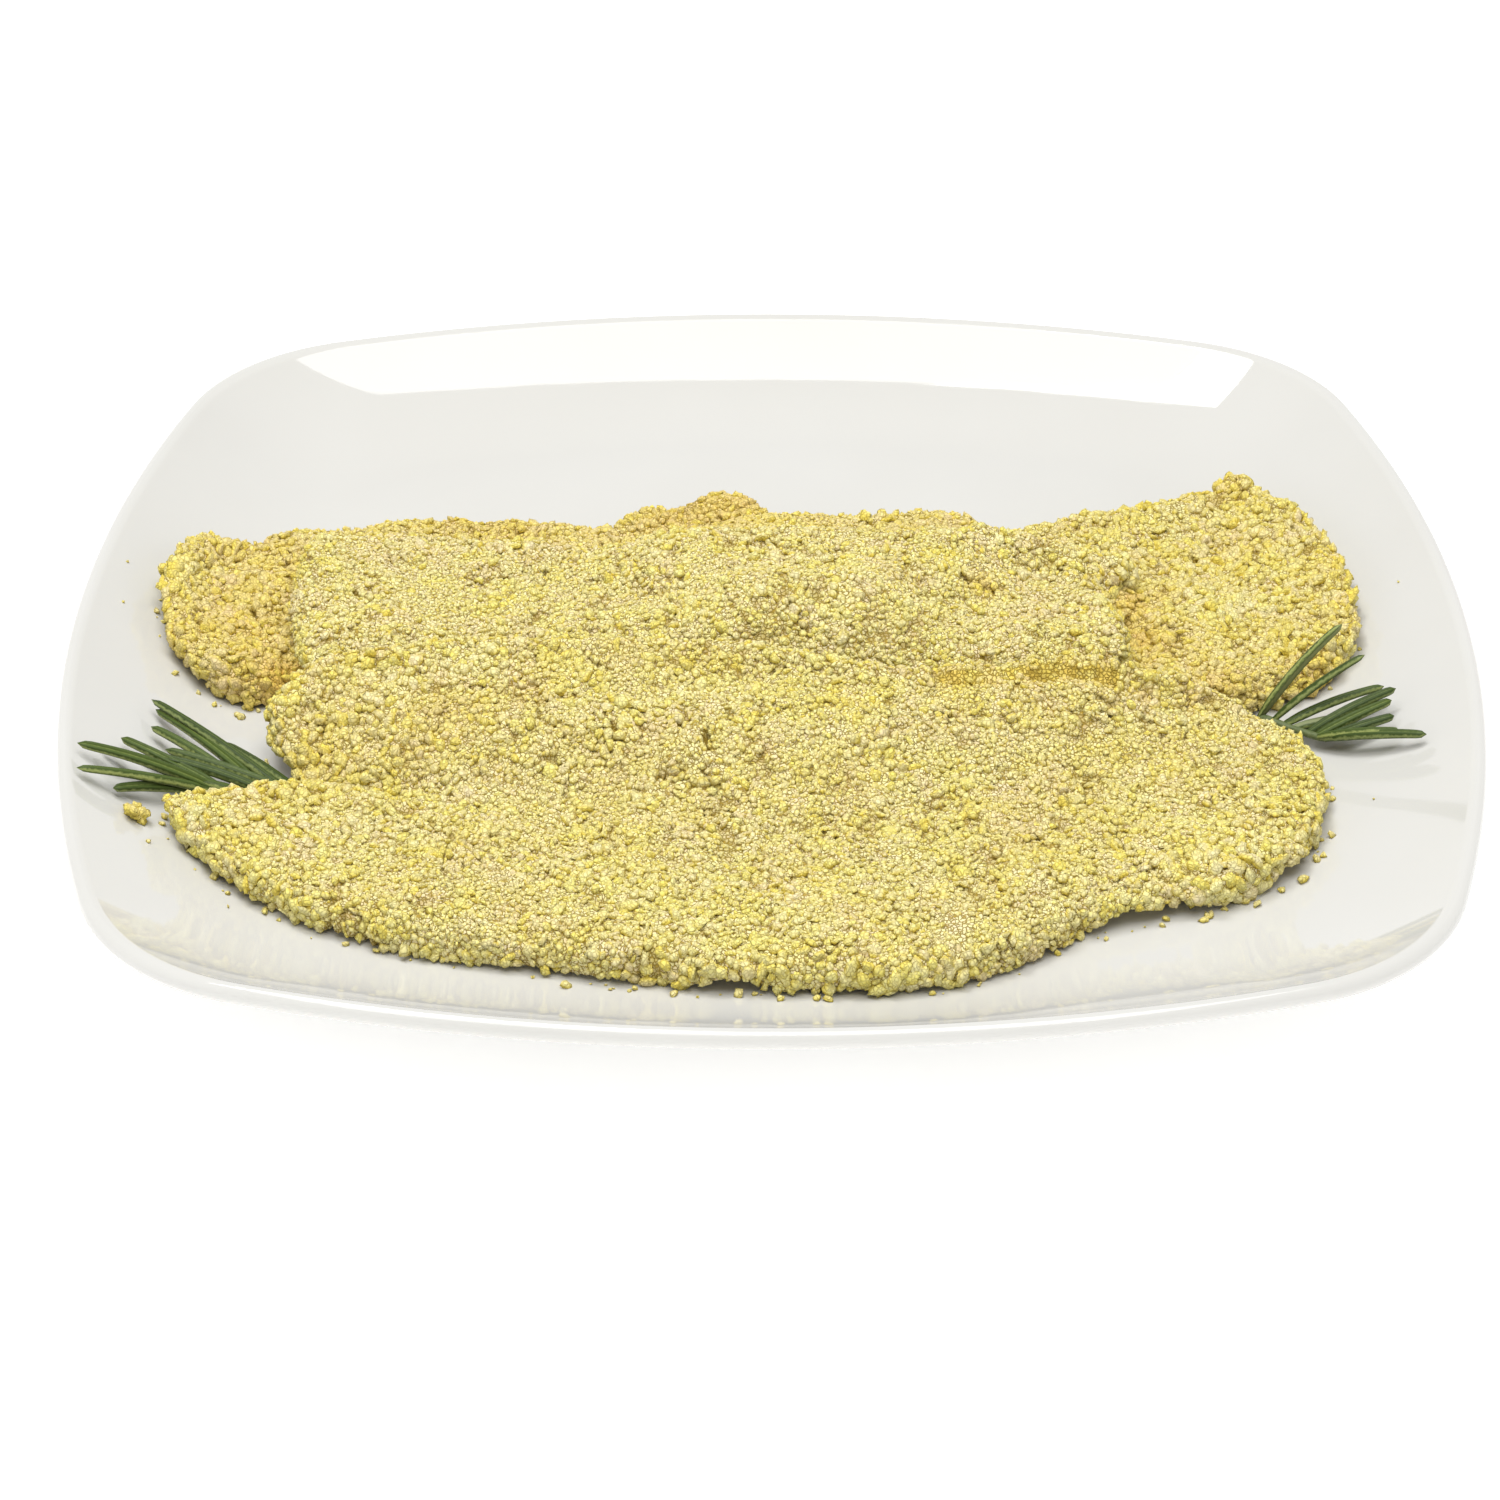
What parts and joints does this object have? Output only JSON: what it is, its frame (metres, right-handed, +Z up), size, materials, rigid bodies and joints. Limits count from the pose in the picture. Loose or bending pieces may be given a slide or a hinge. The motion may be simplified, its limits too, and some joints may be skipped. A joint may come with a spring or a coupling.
{
  "type": "plated schnitzel",
  "caption": "Thin breaded cutlets laid overlapping on a rounded square coupe plate, with rosemary sprigs tucked in at the sides.",
  "frame": {"origin": "middle of the plate's foot ring, on the table", "axes": "+Z up, -Y towards the front of the plate, where the largest cutlet lies, +X to its right"},
  "size_m": [0.3, 0.3, 0.0345],
  "materials": {
    "glaze": "glossy off-white porcelain glaze",
    "crumbs": null,
    "leaf": null
  },
  "bodies": {
    "root": {"plate": "glaze", "cutlet_back_right": "crumbs", "cutlet_back_left": "crumbs", "cutlet_middle": "crumbs", "cutlet_front": "crumbs", "rosemary_left": "leaf", "rosemary_right": "leaf"}
  },
  "joints": []
}
